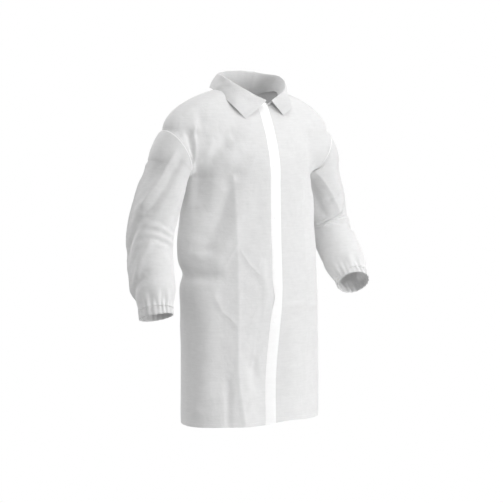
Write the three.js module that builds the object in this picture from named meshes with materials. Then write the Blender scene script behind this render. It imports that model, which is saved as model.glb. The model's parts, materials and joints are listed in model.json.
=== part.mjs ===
// A knee-length disposable lab coat as worn: shirt collar, snap-fastened front strips and gathered cuffs.
// Millimetres. The coat faces -Y, the wearer's left is +X, and the hem lies in the plane z = 0.
import * as THREE from 'three';

// Cloth and clearances
const CLOTH = 1.2;            // wall of every ply, the thinnest that stays a sound solid
const SEAM_GAP = 0.3;         // each sewn edge stops this far short of the seam line
const ARMHOLE_CLEARANCE = 1.9; // shoulder ball of the sleeve inside the armhole edge, wall centre to wall centre
const ELBOW_CLEARANCE = 2.4;  // elbow ball of the lower sleeve inside the end of the upper one

// Body of the coat
const SHOULDER_HEIGHT = 978;  // side of the neck above the hem
const NECK_HALF_WIDTH = 98;
const NECK_DROP = 45;         // the neckline falls this much from the side to the front
const HEM_HALF_WIDTH = 227;
const WAIST_HALF_WIDTH = 231;
const WAIST_HEIGHT = 480;
const SEAM_BACK = 28;         // side and shoulder seams lie this far behind the middle of the hem
const HEM_DEPTH = { front: 142, back: 145 }; // from the seams to the centre line
const CHEST_DEPTH = { front: 146, back: 112 };
const NECK_DEPTH = { front: 78, back: 60 };

// Armhole: a ring in a plane that leans outwards at the top
const ARMHOLE_RADIUS = 76;
const ARMHOLE_X = 250;
const ARMHOLE_HEIGHT = 792;
const ARMHOLE_LEAN = 28;      // degrees from vertical
const ARMHOLE_STEPS = 10;

// Sleeves: elbow and wrist centres, for the wearer's right arm and left arm
const SLEEVE_RADIUS = 61;     // half of the tube at the elbow
const WRIST_RADIUS = 48;
const RIGHT_ELBOW = [-338, 26, 548];
const RIGHT_WRIST = [-362, -46, 352];
const LEFT_ELBOW = [320, 40, 565];
const LEFT_WRIST = [294, -104, 418];
const SLEEVE_SIDES = 20;
const BALL_IN = 18;           // degrees of the ball that lie inside the piece above
const BALL_OUT = 25;          // degrees of the ball before the tube leaves it
const ELBOW_TILT = 26;        // degrees that the end of the upper sleeve rises at the front

// Cuffs
const CUFF_WIDTH = 22;
const CUFF_CHANNEL = 2.0;     // space between the two plies of the casing
const ELASTIC_WIDTH = 12;
const ELASTIC_THICKNESS = 1.0;

// Front strips and the part of each front that turns open
const STRIP_WIDTH = 35;
const STRIP_LIFT = 5.4;       // the upper strip lies this far outside the lower one, centre to centre
const LIFT_FADE = 120;        // the right front comes down to the body surface over this width
const RIGHT_TURN_TOP = 745;   // the turning fold reaches the front edge at this height
const RIGHT_TURN_HEM = 160;   // and the hem this far from the centre
const LEFT_TURN_TOP = 575;
const LEFT_TURN_HEM = 150;

// Snap fasteners
const SNAP_COUNT = 5;
const SNAP_TOP = 905;
const SNAP_PITCH = 150;
const CAP_RADIUS = 6.2;
const CAP_HEIGHT = 1.8;
const SOCKET_RADIUS = 5.4;
const SOCKET_BORE = 3.0;
const SOCKET_HEIGHT = 2.4;
const STUD_RADIUS = 5.0;
const STUD_BASE = 0.8;
const KNOB_RADIUS = 1.9;
const KNOB_HEIGHT = 1.7;
const WASHER_HEIGHT = 1.2;

// Collar
const COLLAR_PLY_SHIFT = 0.8; // each ply lies this far from the middle of the folded collar
const COLLAR_COLUMNS = 20;
const COLLAR_SEAM_RISE = 2.1; // the stand starts this far above the neckline
const COLLAR_BACK_RISE = 51;  // roll line above the neck seam at the back
const COLLAR_SIDE_RISE = 34;
const COLLAR_FALL = 45;       // depth of the turned-down leaf at the back
const COLLAR_END = 8;         // each collar end stops this far from the centre front

const degrees = Math.PI / 180;
const armholeTop = ARMHOLE_HEIGHT + ARMHOLE_RADIUS * Math.cos(ARMHOLE_LEAN * degrees);
const armholeFoot = ARMHOLE_HEIGHT - ARMHOLE_RADIUS * Math.cos(ARMHOLE_LEAN * degrees);
const neckFront = SHOULDER_HEIGHT - NECK_DROP;
const coat = new THREE.Group();

const fabric = new THREE.MeshStandardMaterial({ color: 0xe6e8ea, roughness: 0.85, metalness: 0 });
const stripFabric = new THREE.MeshStandardMaterial({ color: 0xf6f7f8, roughness: 0.85, metalness: 0 });
const plastic = new THREE.MeshStandardMaterial({ color: 0xf2f3f3, roughness: 0.4, metalness: 0 });
const elastic = new THREE.MeshStandardMaterial({ color: 0xe9e6de, roughness: 0.9, metalness: 0 });

function addPiece(name, geometry, material) {
  const piece = new THREE.Mesh(geometry, material);
  piece.name = name;
  coat.add(piece);
  return piece;
}

function smooth(t) {
  const s = Math.min(Math.max(t, 0), 1);
  return s * s * (3 - 2 * s);
}

function mix(a, b, t) {
  return a + (b - a) * t;
}

// ---------- Body surface ----------

// Half width of the body at a height: hem, waist, up to the armhole, out along it, and in over the shoulder.
function halfWidth(z) {
  const lean = Math.tan(ARMHOLE_LEAN * degrees);
  if (z > armholeTop) {
    const tip = ARMHOLE_X + (armholeTop - ARMHOLE_HEIGHT) * lean;
    const climb = (z - armholeTop) / (SHOULDER_HEIGHT - armholeTop);
    return NECK_HALF_WIDTH + (tip - NECK_HALF_WIDTH) * (1 - climb ** 2.0) ** 0.8;
  }
  if (z > armholeFoot) {
    return ARMHOLE_X + (z - ARMHOLE_HEIGHT) * lean;
  }
  const foot = ARMHOLE_X + (armholeFoot - ARMHOLE_HEIGHT) * lean;
  if (z > WAIST_HEIGHT) {
    return mix(WAIST_HALF_WIDTH, foot, smooth((z - WAIST_HEIGHT) / (armholeFoot - WAIST_HEIGHT)));
  }
  return mix(HEM_HALF_WIDTH, WAIST_HALF_WIDTH, smooth(z / WAIST_HEIGHT));
}

// Half depth on the centre line.
function halfDepth(z, part) {
  if (z <= armholeFoot) {
    return mix(HEM_DEPTH[part], CHEST_DEPTH[part], smooth(z / armholeFoot));
  }
  const top = part === 'back' ? SHOULDER_HEIGHT : neckFront;
  const climb = (z - armholeFoot) / (top - armholeFoot);
  return mix(CHEST_DEPTH[part], NECK_DEPTH[part], Math.min(climb, 1.2) ** 1.7);
}

// The plane of the side and shoulder seams drifts back from the hem to the armhole.
function seamPlane(z) {
  return SEAM_BACK * smooth(z / armholeFoot);
}

// How far the edge of a panel lies from the seam plane: nothing at a seam, the ring's width at the armhole.
function edgeDepth(z) {
  const across = (z - ARMHOLE_HEIGHT) / Math.cos(ARMHOLE_LEAN * degrees);
  const ring = Math.sqrt(Math.max(ARMHOLE_RADIUS ** 2 - across ** 2, 0));
  return Math.max(ring, SEAM_GAP);
}

function bodyDepth(x, z, part) {
  const share = Math.min(Math.abs(x) / halfWidth(z), 1);
  const edge = edgeDepth(z);
  const crown = Math.max(halfDepth(z, part) - edge, 0);
  return edge + crown * Math.sqrt(1 - share * share);
}

// A point of the front, lifted outwards along the surface normal.
function frontPoint(x, z, lift) {
  const h = 0.5;
  const height = (px, pz) => bodyDepth(px, pz, 'front') - seamPlane(pz);
  const slopeX = (height(x + h, z) - height(x - h, z)) / (2 * h);
  const slopeZ = (height(x, z + h) - height(x, z - h)) / (2 * h);
  const normal = new THREE.Vector3(-slopeX, -1, -slopeZ).normalize();
  return new THREE.Vector3(x, -height(x, z), z).addScaledVector(normal, lift);
}

// The neckline of the front, as the distance from the centre at a height.
function neckReach(z) {
  const climb = Math.min(Math.max((z - neckFront) / NECK_DROP, 0), 1);
  return NECK_HALF_WIDTH * Math.sqrt(climb);
}

// ---------- Solids from grids ----------

function gridNormal(rows, i, j, wrap) {
  const last = rows[i].length - 1;
  const left = wrap ? (j + last) % (last + 1) : Math.max(j - 1, 0);
  const right = wrap ? (j + 1) % (last + 1) : Math.min(j + 1, last);
  const below = rows[Math.max(i - 1, 0)][j];
  const above = rows[Math.min(i + 1, rows.length - 1)][j];
  const across = rows[i][right].clone().sub(rows[i][left]);
  const along = above.clone().sub(below);
  return across.cross(along).normalize();
}

function signedVolume(points, faces) {
  let total = 0;
  for (let k = 0; k < faces.length; k += 3) {
    const [a, b, c] = [points[faces[k]], points[faces[k + 1]], points[faces[k + 2]]];
    total += a.dot(b.clone().cross(c));
  }
  return total;
}

function closedGeometry(points, faces) {
  if (signedVolume(points, faces) < 0) {
    faces.reverse();
  }
  const geometry = new THREE.BufferGeometry();
  geometry.setAttribute('position', new THREE.Float32BufferAttribute(points.flatMap((p) => p.toArray()), 3));
  geometry.setIndex(faces);
  geometry.computeVertexNormals();
  return geometry;
}

function addQuad(faces, a, b, c, d) {
  faces.push(a, b, c, a, c, d);
}

// A sheet of cloth: the grid of points pushed out to both sides, with its rims closed. shift moves the whole ply.
function clothSheet(rows, { wrap = false, shift = 0, wall = CLOTH } = {}) {
  const points = [];
  const count = rows[0].length;
  const sides = [shift + wall / 2, shift - wall / 2];
  for (const side of sides) {
    rows.forEach((row, i) => row.forEach((p, j) => {
      points.push(p.clone().addScaledVector(gridNormal(rows, i, j, wrap), side));
    }));
  }
  const under = rows.length * count;
  const faces = [];
  const columns = wrap ? count : count - 1;
  for (let i = 0; i < rows.length - 1; i += 1) {
    for (let j = 0; j < columns; j += 1) {
      const k = (j + 1) % count;
      addQuad(faces, i * count + j, i * count + k, (i + 1) * count + k, (i + 1) * count + j);
      addQuad(faces, under + i * count + j, under + (i + 1) * count + j,
        under + (i + 1) * count + k, under + i * count + k);
    }
    if (!wrap) {
      const [a, b] = [i * count, (i + 1) * count];
      addQuad(faces, a, b, under + b, under + a);
      addQuad(faces, a + count - 1, under + a + count - 1, under + b + count - 1, b + count - 1);
    }
  }
  const top = (rows.length - 1) * count;
  for (let j = 0; j < columns; j += 1) {
    const k = (j + 1) % count;
    addQuad(faces, k, j, under + j, under + k);
    addQuad(faces, top + j, top + k, under + top + k, under + top + j);
  }
  return closedGeometry(points, faces);
}

// A ring of any closed section, given as [radius, distance along the axis] points.
function ringSolid(centre, axis, section, sides) {
  const frame = crossFrame(axis);
  const points = [];
  const faces = [];
  const count = section.length;
  for (let i = 0; i < sides; i += 1) {
    for (const [radius, along] of section) {
      points.push(circlePoint(centre, axis, frame, radius, (2 * Math.PI * i) / sides, along));
    }
  }
  for (let i = 0; i < sides; i += 1) {
    for (let j = 0; j < count; j += 1) {
      const [next, k] = [(i + 1) % sides, (j + 1) % count];
      addQuad(faces, i * count + j, next * count + j, next * count + k, i * count + k);
    }
  }
  return closedGeometry(points, faces);
}

// Two directions across an axis, the first as near to +Y as it can be.
function crossFrame(axis) {
  const first = new THREE.Vector3(0, 1, 0);
  first.addScaledVector(axis, -first.dot(axis)).normalize();
  return [first, axis.clone().cross(first)];
}

function circlePoint(centre, axis, frame, radius, angle, along) {
  return centre.clone()
    .addScaledVector(frame[0], radius * Math.cos(angle))
    .addScaledVector(frame[1], radius * Math.sin(angle))
    .addScaledVector(axis, along);
}

// ---------- Panels ----------

// Heights of the grid rows: even steps up the skirt, even angles round the armhole, then over the shoulder.
function panelHeights(from, to) {
  const heights = [];
  const skirtSteps = 6;
  for (let i = 0; i < skirtSteps; i += 1) {
    heights.push((armholeFoot * i) / skirtSteps);
  }
  for (let i = 0; i <= ARMHOLE_STEPS; i += 1) {
    const angle = Math.PI * (i / ARMHOLE_STEPS - 0.5);
    heights.push(mix(armholeFoot, armholeTop, (Math.sin(angle) + 1) / 2));
  }
  const shoulderSteps = 5;
  for (let i = 1; i <= shoulderSteps; i += 1) {
    heights.push(mix(armholeTop, SHOULDER_HEIGHT - 1.5, Math.sin((Math.PI / 2) * (i / shoulderSteps))));
  }
  const kept = heights.filter((z) => z > from + 3 && z < to - 3);
  return [from, ...kept, to];
}

function rowBetween(fromX, toX, z, columns, lift) {
  const width = halfWidth(z);
  const start = Math.asin(Math.min(Math.max(fromX / width, -1), 1));
  const end = Math.asin(Math.min(Math.max(toX / width, -1), 1));
  const row = [];
  for (let j = 0; j <= columns; j += 1) {
    const x = width * Math.sin(mix(start, end, j / columns));
    row.push(frontPoint(x, z, lift(x)));
  }
  return row;
}

function makeBackPanel() {
  const columns = 16;
  const rows = panelHeights(0, SHOULDER_HEIGHT - 1.5).map((z) => {
    const row = [];
    for (let j = 0; j <= columns; j += 1) {
      const x = halfWidth(z) * Math.sin(Math.PI * (j / columns - 0.5));
      row.push(new THREE.Vector3(x, seamPlane(z) + bodyDepth(x, z, 'back'), z));
    }
    return row;
  });
  addPiece('back_panel', clothSheet(rows), fabric);
}

// Inner edge of a front panel, measured outwards from the centre: the strip seam, then the neckline.
function panelEdge(z) {
  const seam = STRIP_WIDTH / 2 + SEAM_GAP;
  return Math.min(Math.max(seam, neckReach(z) + SEAM_GAP), halfWidth(z) - 6);
}

// The turning fold of a front: straight from the front edge down to the hem. side is -1 for the right.
function foldReach(side, z) {
  const top = side < 0 ? RIGHT_TURN_TOP : LEFT_TURN_TOP;
  const hem = side < 0 ? RIGHT_TURN_HEM : LEFT_TURN_HEM;
  const start = -STRIP_WIDTH / 2;
  return mix(hem, start, z / top);
}

function stripLift(side) {
  return (x) => (side < 0 ? STRIP_LIFT * (1 - smooth((Math.abs(x) - STRIP_WIDTH / 2) / LIFT_FADE)) : 0);
}

// Height at which the fold crosses the seam between the panel and its strip.
function foldMeetsSeam(side) {
  const top = side < 0 ? RIGHT_TURN_TOP : LEFT_TURN_TOP;
  const hem = side < 0 ? RIGHT_TURN_HEM : LEFT_TURN_HEM;
  return (top * (hem - STRIP_WIDTH / 2)) / (hem + STRIP_WIDTH / 2);
}

function makeFrontPanel(side, name) {
  const meet = foldMeetsSeam(side);
  const heights = panelHeights(0, SHOULDER_HEIGHT - 1.5);
  heights.push(meet);
  heights.sort((a, b) => a - b);
  const fixed = heights.map((z) => {
    const inner = z < meet ? foldReach(side, z) + SEAM_GAP : panelEdge(z);
    return rowBetween(side * inner, side * halfWidth(z), z, 7, stripLift(side));
  });
  addPiece(`${name}_panel`, clothSheet(fixed), fabric);
  const turning = panelHeights(0, meet - 12).map((z) => (
    rowBetween(side * panelEdge(z), side * (foldReach(side, z) - SEAM_GAP), z, 5, stripLift(side))
  ));
  addPiece(`${name}_turnback`, clothSheet(turning), fabric);
}

// Rows of a strip between two heights, with one at each snap so that the cloth lies flat under it.
function stripHeights(from, to) {
  const heights = panelHeights(from, to);
  for (let number = 0; number < SNAP_COUNT; number += 1) {
    const z = SNAP_TOP - number * SNAP_PITCH;
    heights.push(z - CAP_RADIUS, z + CAP_RADIUS);
  }
  heights.sort((a, b) => a - b);
  return heights.filter((z, i) => z >= from && z <= to && (i === 0 || z - heights[i - 1] > 1));
}

// The strip, cut by the same fold into an upper part that stays and a lower part that turns with the front.
function makeStrip(side, name) {
  const half = STRIP_WIDTH / 2;
  const meet = foldMeetsSeam(side);
  const top = side < 0 ? RIGHT_TURN_TOP : LEFT_TURN_TOP;
  const columns = 3;
  const lift = () => (side < 0 ? STRIP_LIFT : 0);
  const lowerTop = mix(meet, top, 0.94);
  const crossing = [meet, mix(meet, top, 0.5)];
  const heights = [...stripHeights(0, lowerTop).filter((z) => z < meet - 5), ...crossing, lowerTop];
  const lower = heights.map((z) => (
    rowBetween(side * Math.min(half, foldReach(side, z) - SEAM_GAP), -side * half, z, columns, lift)
  ));
  addPiece(`${name}_lower`, clothSheet(lower), stripFabric);
  const foot = mix(meet, top, 0.06);
  const upperHeights = [foot, mix(meet, top, 0.5), ...stripHeights(top, neckFront - 2)];
  const upper = upperHeights.map((z) => {
    const inner = Math.max(foldReach(side, z) + SEAM_GAP, -half);
    return rowBetween(side * half, side * inner, z, columns, lift);
  });
  addPiece(`${name}_upper`, clothSheet(upper), stripFabric);
}

// ---------- Collar ----------

// The neck seam: angle 0 at the back centre, 180 degrees at the front centre, negative on the wearer's right.
function neckSeam(angle) {
  const x = NECK_HALF_WIDTH * Math.sin(angle * degrees);
  const isBack = Math.abs(angle) <= 90;
  const forward = Math.cos(angle * degrees);
  if (isBack) {
    return new THREE.Vector3(x, SEAM_BACK + NECK_DEPTH.back * forward, SHOULDER_HEIGHT);
  }
  const z = SHOULDER_HEIGHT - NECK_DROP * forward * forward;
  return new THREE.Vector3(x, SEAM_BACK + NECK_DEPTH.front * forward, z);
}

// Roll line and leaf edge at a few stations, as offsets from the neck seam: [outwards, up].
// The last station is the collar's front end, whose leaf runs out sideways to its point.
const rollStations = [[6, COLLAR_BACK_RISE], [6, 45], [7, COLLAR_SIDE_RISE], [9, 22], [8, 9]];
const edgeStations = [[22, COLLAR_BACK_RISE - COLLAR_FALL + 6], [22, 12], [22, 5], [40, -6]];
const stationAngles = [0, 45, 90, 135, 174];
const rightPoint = new THREE.Vector3(-93, -96, 878);
const leftPoint = new THREE.Vector3(62, -104, 884);

function stationPoint(side, index, stations) {
  const seam = neckSeam(side * stationAngles[index]);
  const outward = new THREE.Vector3(seam.x, seam.y - SEAM_BACK, 0).normalize();
  const [out, up] = stations[index];
  return seam.addScaledVector(outward, out).add(new THREE.Vector3(0, 0, up));
}

function collarCurve(stations, ends) {
  const count = stationAngles.length;
  const points = [];
  for (let i = count - 1; i > 0; i -= 1) {
    points.push(i === count - 1 && ends ? ends[0] : stationPoint(-1, i, stations));
  }
  points.push(stationPoint(1, 0, stations));
  for (let i = 1; i < count; i += 1) {
    points.push(i === count - 1 && ends ? ends[1] : stationPoint(1, i, stations));
  }
  return new THREE.CatmullRomCurve3(points);
}

function collarRows() {
  const roll = collarCurve(rollStations, null);
  const edge = collarCurve(edgeStations, [rightPoint, leftPoint]);
  const columns = COLLAR_COLUMNS;
  const rows = [[], [], [], [], [], [], []];
  for (let j = 0; j <= columns; j += 1) {
    const t = j / columns;
    const station = Math.abs(2 * t - 1) * (stationAngles.length - 1);
    const low = Math.min(Math.floor(station), stationAngles.length - 2);
    const angle = Math.sign(t - 0.5) * mix(stationAngles[low], stationAngles[low + 1], station - low);
    const seam = neckSeam(angle).add(new THREE.Vector3(0, 0, COLLAR_SEAM_RISE));
    const top = roll.getPoint(t);
    const rim = edge.getPoint(t);
    const out = new THREE.Vector3(top.x, top.y - SEAM_BACK, 0).normalize();
    const before = top.clone().addScaledVector(out, -3.5);
    before.z -= 3;
    const after = top.clone().addScaledVector(out, 3.5);
    after.z -= 3;
    const middle = after.clone().lerp(rim, 0.5).addScaledVector(out, 3);
    const middleStand = seam.clone().lerp(before, 0.5);
    [seam, middleStand, before, top, after, middle, rim].forEach((p, i) => rows[i].push(p));
  }
  return rows;
}

function makeCollar() {
  const rows = collarRows();
  addPiece('upper_collar', clothSheet(rows, { shift: COLLAR_PLY_SHIFT }), fabric);
  addPiece('under_collar', clothSheet(rows, { shift: -COLLAR_PLY_SHIFT }), fabric);
}

// ---------- Sleeves and cuffs ----------

// Rings of a ball about its centre, from inside the piece above to where the tube leaves it.
function ballRings(centre, axis, radius) {
  const rings = [];
  const steps = 3;
  for (let i = 0; i <= steps; i += 1) {
    const angle = mix(-BALL_IN, BALL_OUT, i / steps) * degrees;
    rings.push({ centre: centre.clone().addScaledVector(axis, radius * Math.sin(angle)),
      axis, radius: radius * Math.cos(angle), tilt: 0 });
  }
  return rings;
}

function ringRow({ centre, axis, radius, tilt }) {
  const frame = crossFrame(axis);
  const row = [];
  for (let j = 0; j < SLEEVE_SIDES; j += 1) {
    const angle = (2 * Math.PI * j) / SLEEVE_SIDES;
    row.push(circlePoint(centre, axis, frame, radius, angle, radius * Math.cos(angle) * tilt));
  }
  return row;
}

// The upper sleeve: the shoulder ball in the armhole, then a tube that bends down to the elbow.
function makeUpperSleeve(side, name, elbow, wrist) {
  const lean = ARMHOLE_LEAN * degrees;
  const centre = new THREE.Vector3(side * ARMHOLE_X, SEAM_BACK, ARMHOLE_HEIGHT);
  const axis = new THREE.Vector3(side * Math.cos(lean), 0, -Math.sin(lean));
  const ball = ARMHOLE_RADIUS - ARMHOLE_CLEARANCE;
  const rings = ballRings(centre, axis, ball);
  const start = rings[rings.length - 1].centre;
  const down = elbow.clone().sub(start).normalize();
  const path = new THREE.CubicBezierCurve3(start, start.clone().addScaledVector(axis, 22),
    elbow.clone().addScaledVector(down, -110), elbow);
  const steps = 6;
  for (let i = 1; i <= steps; i += 1) {
    const t = i / steps;
    const radius = mix(ball * Math.cos(BALL_OUT * degrees), SLEEVE_RADIUS + ELBOW_CLEARANCE, smooth(t));
    const tilt = Math.tan(ELBOW_TILT * degrees) * Math.max(0, (i - steps + 2) / 2);
    rings.push({ centre: path.getPoint(t), axis: path.getTangent(t), radius, tilt });
  }
  addPiece(`${name}_sleeve_upper`, clothSheet(rings.map(ringRow), { wrap: true }), fabric);
}

// The lower sleeve: the elbow ball inside the upper sleeve, then a straight tube to the cuff.
function makeLowerSleeve(name, elbow, wrist) {
  const axis = wrist.clone().sub(elbow).normalize();
  const rings = ballRings(elbow, axis, SLEEVE_RADIUS);
  const start = rings[rings.length - 1].centre;
  const steps = 3;
  for (let i = 1; i <= steps; i += 1) {
    const t = i / steps;
    rings.push({ centre: start.clone().lerp(wrist, t), axis,
      radius: mix(SLEEVE_RADIUS * Math.cos(BALL_OUT * degrees), WRIST_RADIUS, t ** 3), tilt: 0 });
  }
  addPiece(`${name}_sleeve_lower`, clothSheet(rings.map(ringRow), { wrap: true }), fabric);
}

// The cuff casing, a fold open towards the sleeve, and the elastic ring that lies loose inside it.
function makeCuff(name, elbow, wrist) {
  const axis = wrist.clone().sub(elbow).normalize();
  const start = wrist.clone().addScaledVector(axis, SEAM_GAP);
  const outer = WRIST_RADIUS + CLOTH / 2;
  const inner = outer - 2 * CLOTH - CUFF_CHANNEL;
  const casing = [[outer, 0], [outer, CUFF_WIDTH], [inner, CUFF_WIDTH], [inner, 0],
    [inner + CLOTH, 0], [inner + CLOTH, CUFF_WIDTH - CLOTH],
    [outer - CLOTH, CUFF_WIDTH - CLOTH], [outer - CLOTH, 0]];
  addPiece(`${name}_cuff_casing`, ringSolid(start, axis, casing, SLEEVE_SIDES), fabric);
  const middle = inner + CLOTH + CUFF_CHANNEL / 2;
  const [low, high] = [middle - ELASTIC_THICKNESS / 2, middle + ELASTIC_THICKNESS / 2];
  const bottom = CUFF_WIDTH - CLOTH - SEAM_GAP;
  const band = [[high, bottom - ELASTIC_WIDTH], [high, bottom], [low, bottom], [low, bottom - ELASTIC_WIDTH]];
  addPiece(`${name}_cuff_elastic`, ringSolid(start, axis, band, SLEEVE_SIDES), elastic);
}

function makeSleeve(side, name, elbowPoint, wristPoint) {
  const elbow = new THREE.Vector3(...elbowPoint);
  const wrist = new THREE.Vector3(...wristPoint);
  makeUpperSleeve(side, name, elbow, wrist);
  makeLowerSleeve(name, elbow, wrist);
  makeCuff(name, elbow, wrist);
}

// ---------- Snap fasteners ----------

function placeRound(name, profile, at, outward) {
  const geometry = new THREE.LatheGeometry(profile.map(([r, y]) => new THREE.Vector2(r, y)), 10);
  const piece = addPiece(name, geometry, plastic);
  piece.position.copy(at);
  piece.quaternion.setFromUnitVectors(new THREE.Vector3(0, 1, 0), outward);
}

// Cap and socket grip the upper strip between them, stud and washer the lower one.
function makeSnap(number) {
  const z = SNAP_TOP - (number - 1) * SNAP_PITCH;
  const at = frontPoint(0, z, 0);
  const outward = frontPoint(0, z, 1).sub(at).normalize();
  const capFoot = STRIP_LIFT + CLOTH / 2 + SEAM_GAP;
  const socketTop = STRIP_LIFT - CLOTH / 2 - SEAM_GAP;
  const studFoot = CLOTH / 2 + SEAM_GAP;
  const washerTop = -studFoot;
  placeRound(`snap_cap_${number}`, [[0, capFoot], [CAP_RADIUS, capFoot], [CAP_RADIUS, capFoot + 0.8],
    [CAP_RADIUS * 0.75, capFoot + 1.5], [0, capFoot + CAP_HEIGHT]], at, outward);
  placeRound(`snap_socket_${number}`, [[SOCKET_BORE, socketTop - SOCKET_HEIGHT],
    [SOCKET_RADIUS, socketTop - SOCKET_HEIGHT], [SOCKET_RADIUS, socketTop], [SOCKET_BORE, socketTop],
    [SOCKET_BORE, socketTop - SOCKET_HEIGHT]], at, outward);
  placeRound(`snap_stud_${number}`, [[0, studFoot], [STUD_RADIUS, studFoot],
    [STUD_RADIUS, studFoot + STUD_BASE], [KNOB_RADIUS, studFoot + STUD_BASE],
    [KNOB_RADIUS, studFoot + STUD_BASE + KNOB_HEIGHT], [0, studFoot + STUD_BASE + KNOB_HEIGHT]], at, outward);
  placeRound(`snap_washer_${number}`, [[0, washerTop - WASHER_HEIGHT], [STUD_RADIUS, washerTop - WASHER_HEIGHT],
    [STUD_RADIUS, washerTop], [0, washerTop]], at, outward);
}

makeBackPanel();
makeFrontPanel(-1, 'right_front');
makeFrontPanel(1, 'left_front');
makeStrip(-1, 'outer_strip');
makeStrip(1, 'inner_strip');
makeCollar();
makeSleeve(-1, 'right', RIGHT_ELBOW, RIGHT_WRIST);
makeSleeve(1, 'left', LEFT_ELBOW, LEFT_WRIST);
for (let number = 1; number <= SNAP_COUNT; number += 1) {
  makeSnap(number);
}

// The origin lies under the middle of the whole coat, sleeves included, at the height of the hem.
const extent = new THREE.Box3().setFromObject(coat, true);
const middle = extent.getCenter(new THREE.Vector3());
coat.position.set(-middle.x, -middle.y, -extent.min.z);

export default coat;
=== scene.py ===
import json
import bmesh
import bpy
import numpy as np
from mathutils import Matrix, Vector

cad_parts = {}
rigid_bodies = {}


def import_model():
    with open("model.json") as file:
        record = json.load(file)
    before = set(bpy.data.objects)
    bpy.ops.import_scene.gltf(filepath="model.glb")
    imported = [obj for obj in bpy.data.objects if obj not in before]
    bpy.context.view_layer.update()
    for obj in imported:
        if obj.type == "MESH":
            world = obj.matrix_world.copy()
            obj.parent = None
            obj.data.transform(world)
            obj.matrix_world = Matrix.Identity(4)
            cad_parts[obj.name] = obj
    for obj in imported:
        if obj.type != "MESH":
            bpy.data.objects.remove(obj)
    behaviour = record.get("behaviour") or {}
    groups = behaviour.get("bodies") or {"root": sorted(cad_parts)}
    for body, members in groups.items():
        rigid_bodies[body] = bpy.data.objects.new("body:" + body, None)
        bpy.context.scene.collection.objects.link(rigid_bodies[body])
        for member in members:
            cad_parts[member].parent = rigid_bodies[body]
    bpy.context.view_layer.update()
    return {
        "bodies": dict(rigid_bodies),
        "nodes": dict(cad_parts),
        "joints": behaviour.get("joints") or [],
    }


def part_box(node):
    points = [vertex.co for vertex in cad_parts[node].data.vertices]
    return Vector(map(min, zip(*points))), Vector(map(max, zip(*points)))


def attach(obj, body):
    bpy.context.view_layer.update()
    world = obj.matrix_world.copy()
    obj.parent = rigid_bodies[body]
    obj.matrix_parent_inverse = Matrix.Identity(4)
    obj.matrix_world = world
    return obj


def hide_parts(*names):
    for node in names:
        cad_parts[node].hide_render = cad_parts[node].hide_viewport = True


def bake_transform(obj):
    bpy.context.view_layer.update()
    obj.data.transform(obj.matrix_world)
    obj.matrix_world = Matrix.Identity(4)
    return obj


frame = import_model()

# ---------------------------------------------------------------- Studio
# A white room lit by large soft lamps. The floor lies well under the hem, because the coat is held up at its
# shoulders, and a white dome that only the camera sees stands for the paper all round.
CAMERA_TURN = np.radians(-35)
CAMERA_AWAY = 5.0
CAMERA_HEIGHT = 0.855
AIM_HEIGHT = 0.5
LENS = 121.0
FLOOR_DROP = 0.75

studio = bpy.context.scene
studio.view_settings.view_transform = "Standard"
middle = Vector((0.015, 0.0044, 0))


def linear(hex_colour):
    """sRGB hex to a linear colour with alpha."""
    parts = [int(hex_colour[i:i + 2], 16) / 255 for i in (1, 3, 5)]
    return tuple([c / 12.92 if c <= 0.04045 else ((c + 0.055) / 1.055) ** 2.4 for c in parts] + [1.0])


def add_node(tree, kind, links=None, **settings):
    """Add a node, set its properties and sockets by name, and link the sockets given in links."""
    node = tree.nodes.new(kind)
    for name, value in settings.items():
        if hasattr(node, name):
            setattr(node, name, value)
        else:
            node.inputs[name.replace("_", " ")].default_value = value
    for name, source in (links or {}).items():
        key = name if isinstance(name, int) else name.replace("_", " ")
        tree.links.new(source, node.inputs[key])
    return node


def aim(thing, target):
    """Turn a lamp or the camera towards a point."""
    thing.rotation_euler = (Vector(target) - thing.location).to_track_quat("-Z", "Y").to_euler()


def add_object(name, data):
    thing = bpy.data.objects.new(name, data)
    studio.collection.objects.link(thing)
    return thing


camera = add_object("camera", bpy.data.cameras.new("camera"))
camera.data.lens = LENS
away = Vector((CAMERA_AWAY * np.sin(CAMERA_TURN), -CAMERA_AWAY * np.cos(CAMERA_TURN), CAMERA_HEIGHT))
camera.location = middle + away
aim(camera, middle + Vector((0, 0, AIM_HEIGHT)))
studio.camera = camera


def soft_lamp(name, place, size, power):
    """A square area lamp aimed at the chest."""
    lamp = add_object(name, bpy.data.lights.new(name, "AREA"))
    lamp.data.size = size
    lamp.data.energy = power
    lamp.location = place
    aim(lamp, (0, 0, 0.6))


soft_lamp("key_lamp", (1.7, -3.2, 2.0), 1.6, 50)
soft_lamp("skirt_lamp", (1.0, -3.4, 0.1), 1.4, 50)
soft_lamp("side_lamp", (-3.2, -1.6, 0.9), 1.4, 10)
soft_lamp("top_lamp", (-0.4, -0.6, 3.4), 1.8, 30)
soft_lamp("back_lamp", (-1.5, 3.0, 2.0), 2.0, 30)

room_light = bpy.data.worlds.new("room_light")
studio.world = room_light
room_light.use_nodes = True
room_light.node_tree.nodes["Background"].inputs["Color"].default_value = linear("#ffffff")
room_light.node_tree.nodes["Background"].inputs["Strength"].default_value = 0.50


def paper(name, brightness):
    """White paper that shows the same white from every side."""
    material = bpy.data.materials.new(name)
    material.use_nodes = True
    tree = material.node_tree
    tree.nodes.clear()
    glow = add_node(tree, "ShaderNodeEmission", Color=linear("#ffffff"), Strength=brightness)
    add_node(tree, "ShaderNodeOutputMaterial", {"Surface": glow.outputs[0]})
    return material


def add_stage(name, build, material):
    """A piece of the studio, which is not part of the coat."""
    shape = bmesh.new()
    build(shape)
    mesh = bpy.data.meshes.new(name)
    shape.to_mesh(mesh)
    shape.free()
    mesh.materials.append(material)
    thing = add_object(name, mesh)
    return thing


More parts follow.
